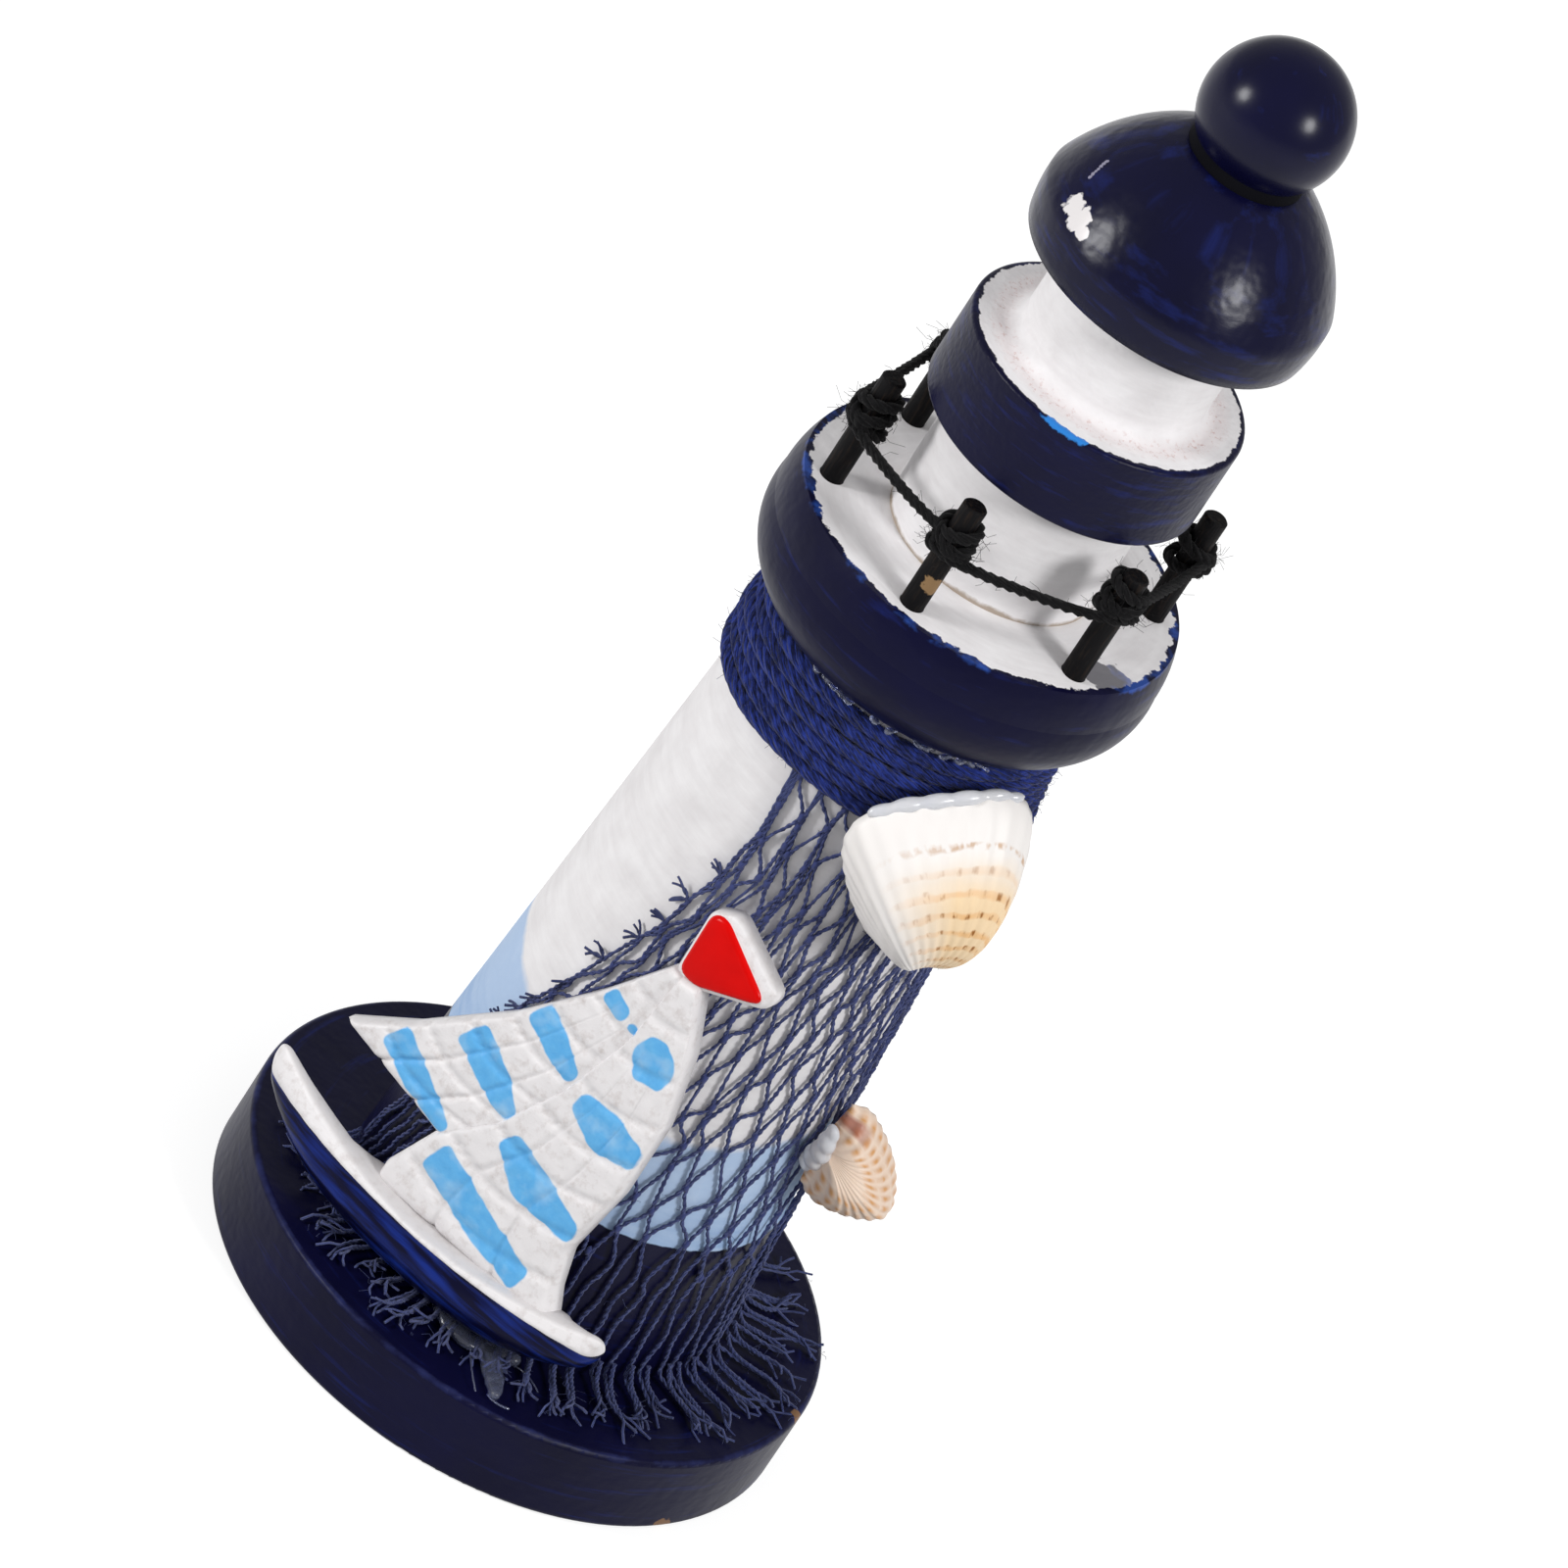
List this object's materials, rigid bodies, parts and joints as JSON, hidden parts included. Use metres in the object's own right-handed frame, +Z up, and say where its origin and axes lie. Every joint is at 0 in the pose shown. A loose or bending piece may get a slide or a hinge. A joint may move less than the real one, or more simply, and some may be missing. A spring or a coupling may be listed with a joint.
{
  "type": "lighthouse ornament",
  "caption": "Turned wooden lighthouse ornament with a post and twine railing round its lantern, a rope collar, a draped fishing net, shells and a small resin sailboat glued to its tower.",
  "frame": {"origin": "centre of the base's underside", "axes": "+Z up along the tower, -Y towards the front of the picture, +X to the right of the front"},
  "size_m": [0.06, 0.06, 0.1586],
  "materials": {
    "navy_paint": "navy brush paint on turned wood, satin",
    "white_paint": "matte white brush paint on turned wood, navy and light-blue bands at the tower's foot",
    "bare_wood": "plain dowel, not painted",
    "black_stick": "thin sticks, black paint",
    "black_twine": "fuzzy black cotton twine",
    "blue_cord": "twisted royal-blue cotton cord",
    "net_cotton": "knotted slate-blue cotton net",
    "painted_resin": "cast resin, white sails with sky-blue stripes, navy hull, red pennant",
    "shell": "natural sea shell, ribbed, cream with tan marks",
    "hot_glue": "milky clear hot-melt glue"
  },
  "bodies": {
    "root": {"base_disc": "navy_paint", "tower": "white_paint", "base_dowel": "bare_wood", "gallery": "navy_paint", "lantern_wall": "white_paint", "gallery_dowel": "bare_wood", "lantern_head": "navy_paint", "roof_cap": "navy_paint", "lantern_dowel": "bare_wood", "ball_finial": "navy_paint", "rail_post_1": "black_stick", "rail_post_2": "black_stick", "rail_post_3": "black_stick", "rail_post_4": "black_stick", "rail_post_5": "black_stick", "rail_post_6": "black_stick", "rail_twine": "black_twine", "rope_collar": "blue_cord", "fishing_net": "net_cotton", "sailboat": "painted_resin", "large_shell": "shell", "large_shell_glue": "hot_glue", "small_shell": "shell", "small_shell_glue": "hot_glue", "boat_glue": "hot_glue"}
  },
  "joints": []
}
